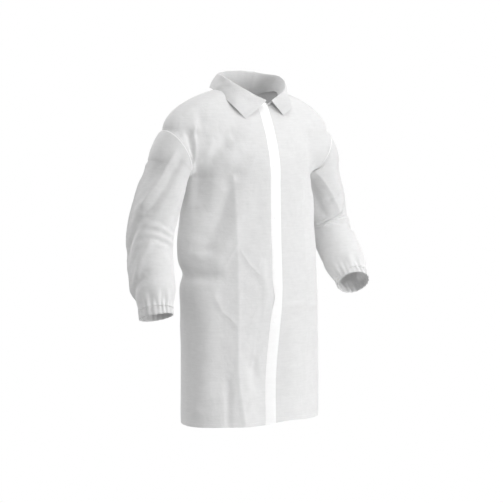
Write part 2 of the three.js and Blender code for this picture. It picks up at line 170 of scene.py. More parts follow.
floor = add_stage("floor", lambda b: bmesh.ops.create_circle(b, cap_ends=True, segments=64, radius=1.9),
                  paper("white_floor_paper", 0.97))
floor.data.transform(Matrix.Translation((0, 0, -FLOOR_DROP)))
dome = add_stage("paper_dome", lambda b: bmesh.ops.create_icosphere(b, subdivisions=4, radius=14),
                 paper("white_dome_paper", 1.0))
for thing in (floor, dome):
    thing.visible_diffuse = False
    thing.visible_glossy = False
    thing.visible_transmission = False
    thing.visible_shadow = False

# ---------------------------------------------------------------- Spunbond cloth
# The coat is cut from spunbond polypropylene: endless fine filaments laid at random and pressed together hot.
# One ply lets some light through and looks pale grey; where two plies lie together it looks nearly white.
CLOUD = 0.022          # metres across a thick or thin patch of filaments
STREAK = 0.004         # height of the faint bands that run across the web
BOND_PITCH = 0.0016    # spacing of the pressed bond points, drawn about twice as coarse as real ones


def spunbond(name, light, dark, bump=0.25):
    """Cloudy white web with cross bands and tiny bond points: gives a matt, slightly mottled surface."""
    material = bpy.data.materials.new(name)
    material.use_nodes = True
    tree = material.node_tree
    surface = tree.nodes["Principled BSDF"]
    place = add_node(tree, "ShaderNodeTexCoord").outputs["Object"]
    clouds = add_node(tree, "ShaderNodeTexNoise", {"Vector": place}, Scale=1 / CLOUD, Detail=4.0,
                      Roughness=0.6)
    flat = add_node(tree, "ShaderNodeMapping", {"Vector": place}, Scale=(0.12, 0.12, 1.0))
    bands = add_node(tree, "ShaderNodeTexNoise", {"Vector": flat.outputs[0]}, Scale=1 / STREAK, Detail=2.0)
    both = add_node(tree, "ShaderNodeMath", {0: clouds.outputs["Fac"], 1: bands.outputs["Fac"]},
                    operation="ADD")
    spread = add_node(tree, "ShaderNodeMapRange", {"Value": both.outputs[0]},
                      From_Min=0.55, From_Max=1.45)
    tint = add_node(tree, "ShaderNodeMix", {0: spread.outputs[0]}, data_type="RGBA")
    tint.inputs[6].default_value = linear(dark)
    tint.inputs[7].default_value = linear(light)
    tree.links.new(tint.outputs[2], surface.inputs["Base Color"])
    bonds = add_node(tree, "ShaderNodeTexVoronoi", {"Vector": place}, Scale=1 / BOND_PITCH)
    web = add_node(tree, "ShaderNodeTexNoise", {"Vector": place}, Scale=260.0, Detail=3.0, Roughness=0.7)
    fibre = add_node(tree, "ShaderNodeMath", {0: bonds.outputs["Distance"], 1: web.outputs["Fac"]},
                     operation="ADD")
    relief = add_node(tree, "ShaderNodeBump", {"Height": fibre.outputs[0]}, Strength=bump, Distance=0.0004)
    wrinkle = add_node(tree, "ShaderNodeTexNoise", {"Vector": place}, Scale=34.0, Detail=5.0, Roughness=0.55,
                       Distortion=0.6)
    crumple = add_node(tree, "ShaderNodeBump", {"Height": wrinkle.outputs["Fac"],
                                                "Normal": relief.outputs["Normal"]},
                       Strength=0.35, Distance=0.004)
    tree.links.new(crumple.outputs["Normal"], surface.inputs["Normal"])
    for socket, value in {"Roughness": 0.82, "IOR": 1.49, "Specular IOR Level": 0.25,
                          "Subsurface Weight": 0.7,      # light passes through the thin web
                          "Subsurface Radius": (1.0, 1.0, 1.0), "Subsurface Scale": 0.003,
                          "Sheen Weight": 0.12, "Sheen Roughness": 0.6}.items():
        surface.inputs[socket].default_value = value
    return material


one_ply = spunbond("spunbond_one_ply", "#e6e6e6", "#dddddd")
two_ply = spunbond("spunbond_two_ply", "#ffffff", "#f9f9f9", bump=0.12)

# ---------------------------------------------------------------- Pattern pieces
# The back and the two fronts are flat cut panels, sewn at the side and shoulder seams. Worn, they take the
# shape below: an oval round the body, a leaning armhole on each side, and a neckline that drops at the front.
MM = 0.001
ARMHOLE_RADIUS = 76.0
ARMHOLE_LEAN = np.radians(28)
NECK_HALF_WIDTH = 98.0
NECK_DROP = 45.0
HEM_HALF_WIDTH = 227.0
WAIST_HALF_WIDTH = 231.0
WAIST_HEIGHT = 480.0
SEAM_BACK = 28.0
HEM_DEPTH = {"front": 142.0, "back": 145.0}
CHEST_DEPTH = {"front": 146.0, "back": 112.0}
NECK_DEPTH = {"front": 78.0, "back": 60.0}
PLY = 0.5               # drawn wall of one ply
joint_at = {joint["name"]: np.array(joint["pos_m"]) / MM for joint in frame["joints"]}
right_shoulder = joint_at["right_shoulder_swing"]
left_shoulder = joint_at["left_shoulder_swing"]
centre_shift = np.array([(right_shoulder[0] + left_shoulder[0]) / 2, right_shoulder[1] - SEAM_BACK, 0.0])
ARMHOLE_X = (left_shoulder[0] - right_shoulder[0]) / 2
armhole_height = right_shoulder[2]
armhole_top = armhole_height + ARMHOLE_RADIUS * np.cos(ARMHOLE_LEAN)
armhole_foot = armhole_height - ARMHOLE_RADIUS * np.cos(ARMHOLE_LEAN)
neck_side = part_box("back_panel")[1][2] / MM + 1.5
neck_front = neck_side - NECK_DROP


def smooth(t):
    t = np.clip(t, 0, 1)
    return t * t * (3 - 2 * t)


def mix(a, b, t):
    return a + (b - a) * t


def half_width(z):
    """Half width of the body from the hem up to the side of the neck."""
    lean = np.tan(ARMHOLE_LEAN)
    foot = ARMHOLE_X + (armhole_foot - armhole_height) * lean
    tip = ARMHOLE_X + (armhole_top - armhole_height) * lean
    skirt = mix(HEM_HALF_WIDTH, WAIST_HALF_WIDTH, smooth(z / WAIST_HEIGHT))
    chest = mix(WAIST_HALF_WIDTH, foot, smooth((z - WAIST_HEIGHT) / (armhole_foot - WAIST_HEIGHT)))
    climb = np.clip((z - armhole_top) / (neck_side - armhole_top), 0, 1)
    shoulder = NECK_HALF_WIDTH + (tip - NECK_HALF_WIDTH) * (1 - climb ** 2) ** 0.8
    leaning = ARMHOLE_X + (z - armhole_height) * lean
    return np.select([z > armhole_top, z > armhole_foot, z > WAIST_HEIGHT], [shoulder, leaning, chest], skirt)


def half_depth(z, part):
    top = neck_side if part == "back" else neck_front
    climb = np.clip((z - armhole_foot) / (top - armhole_foot), 0, 1.2)
    low = mix(HEM_DEPTH[part], CHEST_DEPTH[part], smooth(z / armhole_foot))
    return np.where(z <= armhole_foot, low, mix(CHEST_DEPTH[part], NECK_DEPTH[part], climb ** 1.7))


def edge_depth(z):
    """Distance of a panel's edge from the seam plane: nothing at a seam, the ring's width at the armhole."""
    across = (z - armhole_height) / np.cos(ARMHOLE_LEAN)
    return np.sqrt(np.maximum(ARMHOLE_RADIUS ** 2 - across ** 2, 0.0))


def seam_plane(z):
    return SEAM_BACK * smooth(z / armhole_foot)


def flatness(z):
    """An oval's edge below the arms (0.5), running out flat into the sleeves at the armholes (above 1)."""
    return 0.5 + 0.75 * smooth(edge_depth(z) / 72)


def side_shape(rows):
    """The wearer's right side swells above the waist and is nipped in just under it."""
    x, z = rows[..., 0], rows[..., 2]
    swell = 7 * np.exp(-((z - 525) / 60) ** 2) - 13 * np.exp(-((z - 440) / 24) ** 2)
    swell += 5 * np.exp(-((z - 60) / 110) ** 2)
    near = smooth((np.abs(x) - 140) / 85)
    left_nip = -2.5 * np.exp(-((z - 470) / 18) ** 2)
    rows[..., 0] = x - np.where(x < 0, swell, left_nip) * near * np.where(x < 0, 1, -1)
    return rows


def body_depth(share, z, part):
    """Depth of the oval at a share of the half width, eased over the height so that no ledge shows."""
    total = 0
    for step, weight in ((-36, 1), (-24, 2), (-12, 3), (0, 4), (12, 3), (24, 2), (36, 1)):
        edge = edge_depth(z + step)
        crown = np.maximum(half_depth(z + step, part) - edge, 0)
        total = total + weight * (edge + crown * np.clip(1 - share ** 2, 0, 1) ** flatness(z + step)) / 16
    edge = edge_depth(z)
    crown = np.maximum(half_depth(z, part) - edge, 0)
    exact = edge + crown * np.clip(1 - share ** 2, 0, 1) ** flatness(z)
    keep = np.abs(share) ** 10
    return mix(total, exact, keep)


def ripple(x, z, wave, seed):
    """Soft, irregular unevenness of cloth: a few long waves in random directions."""
    chance = np.random.default_rng(seed)
    total = np.zeros_like(x)
    for _ in range(7):
        turn = chance.uniform(0, np.pi)
        length = wave * chance.uniform(0.7, 1.6)
        total += np.sin((x * np.cos(turn) + z * np.sin(turn)) * 2 * np.pi / length + chance.uniform(0, 6.3))
    return total / 7


def fold(x, z, line, height, width, sharp=False):
    """A raised (or, with a negative height, sunken) fold along a line of points, fading at both ends."""
    best = np.full(np.shape(x), 1e9)
    for (x0, z0), (x1, z1) in zip(line, line[1:]):
        run = (x1 - x0) ** 2 + (z1 - z0) ** 2
        t = np.clip(((x - x0) * (x1 - x0) + (z - z0) * (z1 - z0)) / run, 0, 1)
        best = np.minimum(best, np.hypot(x - x0 - t * (x1 - x0), z - z0 - t * (z1 - z0)))
    ends = np.minimum(np.hypot(x - line[0][0], z - line[0][1]), np.hypot(x - line[-1][0], z - line[-1][1]))
    fade = smooth(ends / (2.5 * width) + 0.35)
    shape = np.exp(-best / width) if sharp else np.exp(-(best / width) ** 2)
    return height * shape * fade


def folds(x, z, table):
    """Sum of folds, each given by its line, height and width; True after them makes it a sharp crease."""
    return sum(fold(x, z, *row) for row in table)


def grid_normals(rows, wrap):
    """Unit normals of a grid of points, by central differences."""
    along = np.gradient(rows, axis=0)
    across = (np.roll(rows, -1, 1) - np.roll(rows, 1, 1)) / 2 if wrap else np.gradient(rows, axis=1)
    normal = np.cross(across, along)
    return normal / np.maximum(np.linalg.norm(normal, axis=2, keepdims=True), 1e-9)


def facing_front(rows):
    """Normals of a grid, all turned to the front."""
    push = grid_normals(rows, False)
    return push * np.where(push[..., 1:2] > 0, -1, 1)


def cloth_object(name, rows, material, wall=PLY, wrap=False, double=None):
    """A closed sheet of cloth from a grid of points in millimetres, with its wall half to each side.

    Faces where double is true are the seam allowances, where two plies lie together."""
    count_rows, count = rows.shape[:2]
    push = grid_normals(rows, wrap) * wall / 2
    points = np.concatenate([(rows + push).reshape(-1, 3), (rows - push).reshape(-1, 3)])
    index = np.arange(count_rows * count).reshape(count_rows, count)
    right = np.roll(index, -1, 1) if wrap else index[:, 1:]
    left = index if wrap else index[:, :-1]
    quads = np.stack([left[:-1], right[:-1], right[1:], left[1:]], -1).reshape(-1, 4)
    under = count_rows * count
    faces = [quads, quads[:, ::-1] + under]
    for row, turn in ((0, -1), (-1, 1)):
        rim = np.stack([left[row], right[row], right[row] + under, left[row] + under], -1)
        faces.append(rim[:, ::-1] if turn > 0 else rim)
    if not wrap:
        for column, turn in ((0, 1), (-1, -1)):
            side = index[:, column]
            rim = np.stack([side[:-1], side[1:], side[1:] + under, side[:-1] + under], -1)
            faces.append(rim[:, ::-1] if turn > 0 else rim)
    faces = np.concatenate(faces)
    corners = points[faces]
    volume = np.einsum("ij,ij->", corners[:, 0], np.cross(corners[:, 1], corners[:, 2]))
    volume += np.einsum("ij,ij->", corners[:, 0], np.cross(corners[:, 2], corners[:, 3]))
    faces = faces if volume > 0 else faces[:, ::-1]
    mesh = bpy.data.meshes.new(name)
    mesh.from_pydata(((points + centre_shift) * MM).tolist(), [], faces.tolist())
    mesh.polygons.foreach_set("use_smooth", [True] * len(mesh.polygons))
    mesh.set_sharp_from_angle(angle=np.radians(55))
    mesh.materials.append(material)
    if double is not None:
        mesh.materials.append(two_ply)
        both = np.tile(double.reshape(-1), 2).astype(int)
        mesh.polygons.foreach_set("material_index", np.pad(both, (0, len(faces) - len(both))))
    mesh.update()
    return add_object(name, mesh)


def declare(thing, body, slot, *nodes):
    """Attach a piece to its body, or only bake its place into its mesh when it is given two bodies and a
    stretch. The slot is not used. Hide the plain solids it stands for.
    """
    if isinstance(body, str):
        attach(thing, body)
    else:
        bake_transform(thing)
    if nodes:
        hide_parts(*nodes)


TURN_BEFORE, TURN_AFTER = 0.018, 0.012      # metres from the turning line to the ends of the stretch across it


def turning_body(side):
    """The two bodies of a front and the stretch across its turning fold, in metres."""
    joint = next(j for j in frame["joints"] if j["name"] == f"{side}_front_open")
    axis = np.array(joint["axis"])
    place = np.array(joint["pos_m"])
    across = np.cross(axis, (0, -1, 0))
    across /= np.linalg.norm(across)
    across *= 1 if (across[0] > 0) == (side == "right") else -1
    start = place - TURN_BEFORE * across
    end = place + TURN_AFTER * across
    return ("coat_body", f"{side}_front", tuple(start), tuple(end))

# ---------------------------------------------------------------- Back
# The back is one panel, hanging in broad soft flutes below the shoulder blades, with a few creases from being
# packed.
BACK_DROP = 26.0           # the back of the neckline dips below the shoulder seams


def rows_between(inner, outer, z, columns):
    """Points across a panel from inner to outer (distances from the centre), close together at the side."""
    width = half_width(z)
    start = np.arcsin(np.clip(inner / width, -1, 1))
    end = np.arcsin(np.clip(outer / width, -1, 1))
    return np.sin(mix(start[:, None], end[:, None], np.linspace(0, 1, columns)[None, :]))


def heights(low, high, step):
    """Row heights, with rows at both ends of the armhole."""
    marks = [low] + [m for m in (armhole_foot, armhole_top) if low < m < high] + [high]
    runs = [np.linspace(a, b, max(int((b - a) / step), 1) + 1)[:-1] for a, b in zip(marks, marks[1:])]
    return np.concatenate(runs + [[high]])


def back_folds(x, z):
    flutes = np.sin(x / 30 + 0.6) + 0.6 * np.sin(x / 47 + 2.1 + z / 260)
    lift = 6.5 * flutes * smooth((620 - z) / 520) * smooth((215 - np.abs(x)) / 60)
    lift += 2.5 * ripple(x, z, 170, 3) + 1.0 * ripple(x, z, 60, 4)
    lift += folds(x, z, (
        ([(-2, 900), (4, 500), (-3, 10)], 2.2, 9, True),
        ([(-215, 508), (0, 500), (215, 506)], 1.8, 8, True), ([(-190, 760), (-90, 690)], -7, 22),
        ([(195, 750), (80, 660)], -8, 24), ([(-215, 690), (-120, 560)], 5, 18),
        ([(210, 680), (130, 540)], 5, 20)))
    return lift * smooth((neck_side - z) / 60)


def back_rows(z, columns):
    share = rows_between(-half_width(z), half_width(z), z, columns)
    grid_z = np.repeat(z[:, None], share.shape[1], 1)
    x = share * half_width(z)[:, None]
    scoop = BACK_DROP * np.clip(1 - (x / NECK_HALF_WIDTH) ** 2, 0, 1)
    grid_z = grid_z - scoop * smooth((grid_z - neck_side + 150) / 150)
    share = x / half_width(grid_z)
    depth = body_depth(share, grid_z, "back")
    rows = np.stack([x, seam_plane(grid_z) + depth, grid_z], 2)
    calm = smooth((1 - np.abs(share)) / 0.06)
    rows += grid_normals(rows, False) * (back_folds(x, grid_z) * calm)[:, :, None]
    rows = side_shape(rows)
    rows[..., 2] += hem_lift(x, grid_z, 5)
    return rows


def make_back():
    rows = back_rows(heights(0, neck_side - 1.5, 7), 110)
    back = cloth_object("back_panel_cloth", rows, one_ply)
    declare(back, "coat_body", "coat_cloth", "back_panel")


def hem_lift(x, z, seed):
    """The hem isn't quite level: it rises here and there, and at the wearer's left front."""
    rise = 2.0 * (1 + ripple(x, x * 0, 150, seed)) + 6 * np.exp(-((x - 70) / 60) ** 2) * (seed != 5)
    return rise * smooth((160 - z) / 160)


# ---------------------------------------------------------------- Fronts
# The fronts: each is one panel from the side seam to the front strip. Old packing creases run down them, and
# drag folds fall from the armholes to the waist because the arms hang a little forward.
def right_folds(x, z):
    lift = folds(x, z, (
        ([(-124, 735), (-121, 540), (-121, 255), (-118, 130), (-95, -10)], 5.6, 18, True),
        ([(-160, 92), (-161, -10)], 1.6, 6, True), ([(-126, 720), (-165, 600), (-208, 490)], -12, 24),
        ([(-95, 640), (-150, 520), (-185, 440)], 5, 22), ([(-128, 838), (-165, 790), (-200, 742)], -8, 21),
        ([(-175, 835), (-205, 770)], 5, 15), ([(-110, 800), (-150, 745)], 4, 18),
        ([(-148, 812), (-140, 800)], -3.5, 9), ([(-226, 868), (-232, 757)], 5.5, 6, True),
        ([(-244, 850), (-243, 780)], -6, 8), ([(-200, 905), (-214, 850)], -4, 12),
        ([(-230, 864), (-203, 862)], 2.6, 5, True), ([(-226, 745), (-205, 700), (-215, 640)], -12, 24),
        ([(-214, 727), (-172, 725)], -2.6, 5, True), ([(-226, 502), (-190, 500)], 2.2, 4, True),
        ([(-225, 491), (-200, 489)], 1.2, 4, True), ([(-232, 446), (-196, 430), (-176, 436)], -4, 13),
        ([(-205, 560), (-225, 520)], 9, 40), ([(-162, 455), (-140, 495), (-120, 532)], 2.8, 6, True),
        ([(-116, 515), (-88, 470), (-56, 436)], 2.8, 6, True),
        ([(-184, 388), (-165, 335), (-123, 294)], 2.8, 7, True),
        ([(-60, 345), (-80, 310), (-117, 294)], 2.8, 7, True),
        ([(-52, 470), (-34, 400), (-34, 330)], 4.0, 13), ([(-72, 185), (-52, 130)], -7, 18),
        ([(-196, 400), (-200, 230), (-204, 60)], 7, 26), ([(-150, 150), (-152, -10)], -4, 12),
        ([(-60, 900), (-85, 760)], 2.0, 26), ([(-40, 690), (-70, 560)], -2.0, 24)))
    return lift + 1.7 * ripple(x, z, 150, 11) + 0.7 * ripple(x, z, 48, 12) + 0.25 * ripple(x, z, 19, 13)


def left_folds(x, z):
    lift = folds(x, z, (
        ([(24, 350), (90, 345), (190, 335)], 3.2, 8, True),
        ([(118, 700), (122, 450), (120, 200), (118, 20)], 2.2, 14, True),
        ([(190, 745), (150, 660), (95, 580)], -7, 26), ([(205, 690), (180, 600)], 5, 22),
        ([(150, 840), (170, 760)], -5, 20), ([(40, 610), (75, 520)], -2.5, 24),
        ([(60, 900), (95, 800)], 2.5, 26), ([(60, 250), (85, 120)], 3.0, 30),
        ([(150, 260), (160, 90)], -3.0, 26), ([(34, 480), (60, 420)], 1.4, 6, True)))
    return lift + 1.7 * ripple(x, z, 150, 21) + 0.7 * ripple(x, z, 48, 22) + 0.25 * ripple(x, z, 19, 23)


DRIFT_TOP = 430.0           # the closed front starts to drift here, above the lowest snap
DRIFT_HEIGHT = 330.0        # and has drifted in full this much lower
DRIFT_SIDEWAYS = 21.0
DRIFT_INWARDS = 20.0


def settle(rows):
    """Under DRIFT_TOP the closed front sinks in and drifts to the wearer's right."""
    share = smooth((DRIFT_TOP - rows[..., 2]) / DRIFT_HEIGHT)
    x = rows[..., 0].copy()
    rows[..., 0] -= DRIFT_SIDEWAYS * share * np.exp(-(x / 130) ** 2)
    rows[..., 1] += DRIFT_INWARDS * share * np.exp(-((x + 12) / 75) ** 2)
    rows[..., 2] += hem_lift(x, rows[..., 2], 6)
    return rows


STRIP_HALF = 17.5
STITCH_INSET = 2.6          # from a strip's edge to its row of stitches
RIGHT_LIFT = 4.4            # the right strip lies this far outside the left one
SEAM_UNDERLAP = 7.0         # the panel's edge runs this far in under its strip


def strip_edge(z, side):
    """Half width of a strip on its panel's side. The right one is drawn in where the waist folds meet it."""
    pinch = 8.5 * np.exp(-((z - 372) / 30) ** 2) + 1.5 * np.exp(-((z - 500) / 40) ** 2)
    return STRIP_HALF - (pinch if side < 0 else 0)


def front_rows(inner, outer, z, columns, side, lift, own_folds):
    """A grid on the front of the body between two distances from the centre, towards one side."""
    share = rows_between(inner, outer, z, columns)
    grid_z = np.repeat(z[:, None], columns, 1)
    x = share * half_width(z)[:, None]
    depth = body_depth(share, grid_z, "front")
    rows = np.stack([side * x, seam_plane(grid_z) - depth, grid_z], 2)
    push = facing_front(rows)
    calm = smooth((1 - share) / 0.05)
    own = own_folds(side * x, grid_z) * calm * smooth((neck_side - grid_z) / 70)
    total = lift(x) + mix(centre_folds(grid_z), own, smooth((x - 12) / 45))
    return settle(side_shape(rows + push * total[:, :, None]))


def neck_reach(z):
    return NECK_HALF_WIDTH * np.sqrt(np.clip((z - neck_front) / NECK_DROP, 0, 1))


def panel_lift(side):
    top = RIGHT_LIFT if side < 0 else 0.0
    return lambda x: top * (1 - smooth((x - STRIP_HALF) / 110)) - 1.5 * (1 - smooth((x - STRIP_HALF + 5) / 8))


def make_front(side, name, own_folds):
    z = heights(0, neck_side - 1.5, 6)
    inner = np.maximum(strip_edge(z, side) - SEAM_UNDERLAP, neck_reach(z))
    inner = np.minimum(inner, half_width(z) - 5)
    rows = front_rows(inner, half_width(z), z, 76, side, panel_lift(side), own_folds)
    panel = cloth_object(f"{name}_front_cloth", rows, one_ply)
    declare(panel, turning_body(name), "coat_cloth", f"{name}_front_panel", f"{name}_front_turnback")


# ---------------------------------------------------------------- Strips
# The front strips: a folded band of the same cloth, two plies thick, stitched along both edges. The right one
# closes over the left one, and the snaps go through both.
def centre_folds(z):
    """What both strips and the panels beside them share, so that the strips lie on each other."""
    return 0.8 * right_folds(z * 0 - STRIP_HALF, z) + 0.3 * ripple(z * 0, z, 26, 31)


def strip_rows(side, z, far, near, columns):
    share = rows_between(far, near, z, columns)
    grid_z = np.repeat(z[:, None], columns, 1)
    x = share * half_width(z)[:, None]
    stitched = np.exp(-((np.abs(x) - STRIP_HALF + STITCH_INSET) / 0.9) ** 2)
    lift = (RIGHT_LIFT if side < 0 else 0.0) - 0.4 * stitched + centre_folds(grid_z)
    rows = np.stack([side * x, seam_plane(grid_z) - body_depth(share, grid_z, "front"), grid_z], 2)
    push = facing_front(rows)
    return settle(rows + push * lift[:, :, None])


def make_strip(side, name, arm):
    z = heights(0, neck_front + 3, 6)
    rows = strip_rows(side, z, np.full_like(z, -STRIP_HALF), strip_edge(z, side), 24)
    strip = cloth_object(f"{name}_strip_cloth", rows, two_ply, wall=2 * PLY)
    declare(strip, turning_body(arm), "strip_cloth", f"{name}_strip_upper", f"{name}_strip_lower")


make_back()
make_front(-1, "right", right_folds)
make_front(1, "left", left_folds)
make_strip(-1, "outer", "right")
make_strip(1, "inner", "left")

# ---------------------------------------------------------------- Sleeves
# Each sleeve is one wide tube set into the armhole, with its seam on the underside. It is slack, so it
# buckles inside the bend of the elbow, drags from the shoulder, and puffs out above the gathers of the cuff.
SLEEVE_STEP = 4.0
SLEEVE_FOLD_HEIGHT = 1.3
SEAM_LINE = 2.2           # how much of the seam allowance shows as a light line
SLEEVE_SPLIT = 0.52       # share of the way to the elbow where the two sheets meet
SHOULDER_STRETCH = (0, 70)    # before and after the joint, the ends of the stretch across it
ELBOW_STRETCH = (45, 45)
MEAN_RADIUS = 66
SLEEVE_SIDES = 112
CUFF_GATHERS = 19
WRIST_RADIUS = 48.0
ARMS = {"right": {"side": -1, "wrist": (-362.0, -46.0, 352.0)},
        "left": {"side": 1, "wrist": (294.0, -104.0, 418.0)}}


def bezier(a, b, c, d, t):
    t = t[:, None]
    return a * (1 - t) ** 3 + 3 * b * t * (1 - t) ** 2 + 3 * c * t * t * (1 - t) + d * t ** 3


def sleeve_path(arm):
    """Points every few millimetres from armhole to wrist, their distances, and that of the elbow."""
    side = ARMS[arm]["side"]
    shoulder = joint_at[f"{arm}_shoulder_swing"] - centre_shift
    elbow = joint_at[f"{arm}_elbow_bend"] - centre_shift
    wrist = np.array(ARMS[arm]["wrist"])
    axis = np.array([side * np.cos(ARMHOLE_LEAN), 0, -np.sin(ARMHOLE_LEAN)])
    down = (elbow - shoulder) / np.linalg.norm(elbow - shoulder)
    upper = bezier(shoulder, shoulder + axis * 30, elbow - down * 120, elbow, np.linspace(0, 1, 80))
    lower = elbow + (wrist - elbow) * np.linspace(0, 1, 60)[1:, None]
    line = np.concatenate([upper, lower])
    run = np.concatenate([[0], np.cumsum(np.linalg.norm(np.diff(line, axis=0), axis=1))])
    place = np.linspace(0, run[-1], int(run[-1] / SLEEVE_STEP) + 1)
    place[1] = SEAM_LINE
    line = np.stack([np.interp(place, run, line[:, k]) for k in range(3)], 1)
    eased = line.copy()
    for i in range(len(line)):
        reach = min(12, i, len(line) - 1 - i)
        eased[i] = line[i - reach:i + reach + 1].mean(0)
    return eased, place, run[79]


def frames_along(line, place, side):
    """Tangent, front and outside directions at every point of a path, which leaves square to the armhole."""
    tangent = np.gradient(line, axis=0)
    tangent /= np.linalg.norm(tangent, axis=1, keepdims=True)
    square = np.array([side * np.cos(ARMHOLE_LEAN), 0, -np.sin(ARMHOLE_LEAN)])
    tangent = mix(square, tangent, smooth(place / 45)[:, None])
    tangent /= np.linalg.norm(tangent, axis=1, keepdims=True)
    front = np.array([0, -1.0, 0]) - tangent * (-tangent[:, 1:2])
    front /= np.linalg.norm(front, axis=1, keepdims=True)
    return tangent, front, np.cross(front, tangent) * side


def around(angle, middle_angle):
    """Distance round the sleeve from a middle angle in degrees, in millimetres."""
    return ((angle - np.radians(middle_angle) + np.pi) % (2 * np.pi) - np.pi) * MEAN_RADIUS


def folds_round(s, angle, table):
    """Sum of folds of a sleeve, each given by its middle angle and then as in folds."""
    return sum(fold(around(angle, middle_angle), s, *row) for middle_angle, *row in table)


def gathers(angle, seed):
    """Irregular pleats round the cuff."""
    chance = np.random.default_rng(seed)
    drift = sum(np.sin(angle * k + chance.uniform(0, 6.3)) * 0.5 / k for k in range(1, 6))
    uneven = 0.62 + 0.25 * np.sin(angle * 5 + chance.uniform(0, 6.3)) + 0.2 * np.sin(angle * 3 + 1.0)
    return np.sin(angle * CUFF_GATHERS + drift * 3) * uneven


def right_sleeve_folds(s, angle, elbow, end):
    return folds_round(s, angle, (
        (118, [(-6, 50), (4, elbow), (-4, end - 26)], 8.0, 9, True),
        (134, [(-6, 70), (4, elbow), (-2, end - 40)], -5.0, 13),
        (60, [(-40, 12), (-22, 90), (20, 190)], 6.5, 12, True),
        (34, [(-34, 20), (-14, 110), (22, 200)], -6.0, 14),
        (150, [(-30, 30), (0, 140)], -5.0, 20),
        (-40, [(-30, 15), (0, 120), (10, 220)], -6.0, 22),
        (85, [(-25, elbow - 60), (10, elbow + 10), (45, elbow + 60)], -4.5, 15),
        (55, [(-35, elbow + 30), (5, elbow + 70), (35, elbow + 130)], 4.5, 14),
        (90, [(-40, end - 90), (10, end - 60), (35, end - 20)], -4.0, 13)))


def left_sleeve_folds(s, angle, elbow, end):
    return folds_round(s, angle, (
        (-60, [(-45, 30), (-5, 110), (15, 200)], -7.0, 20),
        (-20, [(-40, 20), (5, 130), (25, 205)], 6.0, 13, True),
        (5, [(-40, elbow - 92), (10, elbow - 104)], -5.0, 9),
        (35, [(-25, 40), (0, 140), (20, 230)], -5.0, 20),
        (-15, [(-50, elbow + 4), (5, elbow - 30), (58, elbow - 66)], -7.5, 11),
        (10, [(-55, elbow + 36), (5, elbow + 48), (55, elbow + 40)], -6.0, 13),
        (0, [(-48, elbow - 14), (0, elbow - 42), (50, elbow - 78)], 4.5, 8, True),
        (150, [(-35, elbow - 60), (0, elbow), (15, end - 40)], 4.5, 15),
        (70, [(-35, elbow + 30), (0, elbow + 80), (25, end - 20)], -4.0, 15)))


def sleeve_radius(s, elbow, end):
    """Slack tube: full at the armhole, easing to the elbow, wide on the forearm, drawn in at the cuff."""
    upper = np.interp(s, [0, 25, 70, 140, elbow - 20, elbow + 40, end - 85], [75.6, 74, 70, 67, 65, 64, 61])
    drawn = smooth((s - (end - 70)) / 70) ** 1.3
    return mix(upper, WRIST_RADIUS + 1.5, drawn)


def sleeve_rows(arm, own_folds, seed):
    line, place, elbow = sleeve_path(arm)
    end = place[-1]
    side = ARMS[arm]["side"]
    tangent, front, out = frames_along(line, place, side)
    angle = np.linspace(0, 2 * np.pi, SLEEVE_SIDES, endpoint=False)[None, :]
    s = place[:, None] + 0 * angle
    angle = angle + 0 * s
    calm = smooth((s - 4) / 40) * smooth((end - s) / 45)
    lift = SLEEVE_FOLD_HEIGHT * own_folds(s, angle, elbow, end) * calm
    lift += (2.2 * ripple(np.sin(angle) * 65, s + np.cos(angle) * 65, 90, seed)
             + 0.9 * ripple(np.sin(angle) * 65, s + np.cos(angle) * 65, 34, seed + 1)) * calm
    bend = np.exp(-((s - elbow) / 34) ** 2) * np.clip(np.cos(angle), 0, 1) ** 1.5
    lift += 2.6 * bend * np.sin((s - elbow) * 2 * np.pi / 34 + 1.5 * np.sin(2 * angle))
    lift += 2.6 * gathers(angle, seed) * np.exp(-((end - s) / 22) ** 1.4)
    lift += 2.4 * np.sin(7 * angle + seed + 2 * np.sin(2 * angle)) * np.exp(-((end - s - 26) / 20) ** 2)
    lift += 0.5 * np.sin(angle * 31 + seed) * np.exp(-(s / 9) ** 2) * smooth(s / 3)
    lift -= 13 * np.clip(np.sin(angle), 0, 1) * np.exp(-((s - 72) / 50) ** 2) * smooth(s / 24)
    radius = sleeve_radius(s, elbow, end) + lift
    rows = line[:, None] + radius[..., None] * (np.cos(angle)[..., None] * front[:, None]
                                                + np.sin(angle)[..., None] * out[:, None])
    inside = [rows[0] - tangent[0] * back + (line[0] - rows[0]) * narrower for back, narrower in
              ((9.0, 0.07), (4.0, 0.03))]
    rows = np.concatenate([np.stack(inside), rows])
    place = np.concatenate([[-9.0, -4.0], place])
    return rows, place, elbow


def sleeve_end(arm):
    """The middle of the sleeve's end, with its tangent, front and outside directions."""
    line, place, _ = sleeve_path(arm)
    return (line[-1], *(way[-1] for way in frames_along(line, place, ARMS[arm]["side"])))


def stretch_across(arm, joint, before, after):
    """Two points across a joint, in metres, before and after it along the sleeve's path."""
    line, place, elbow = sleeve_path(arm)
    line = (line + centre_shift) * MM
    centre = elbow if joint == "elbow" else 0.0
    point = np.array([np.interp(centre, place, line[:, k]) for k in range(3)])
    ahead = np.array([np.interp(centre + 30, place, line[:, k]) for k in range(3)])
    direction = (ahead - point) / np.linalg.norm(ahead - point)
    return tuple(point - direction * before * MM), tuple(point + direction * after * MM)


def armhole_bodies(arm):
    return ("coat_body", f"{arm}_upper_sleeve", *stretch_across(arm, "shoulder", *SHOULDER_STRETCH))


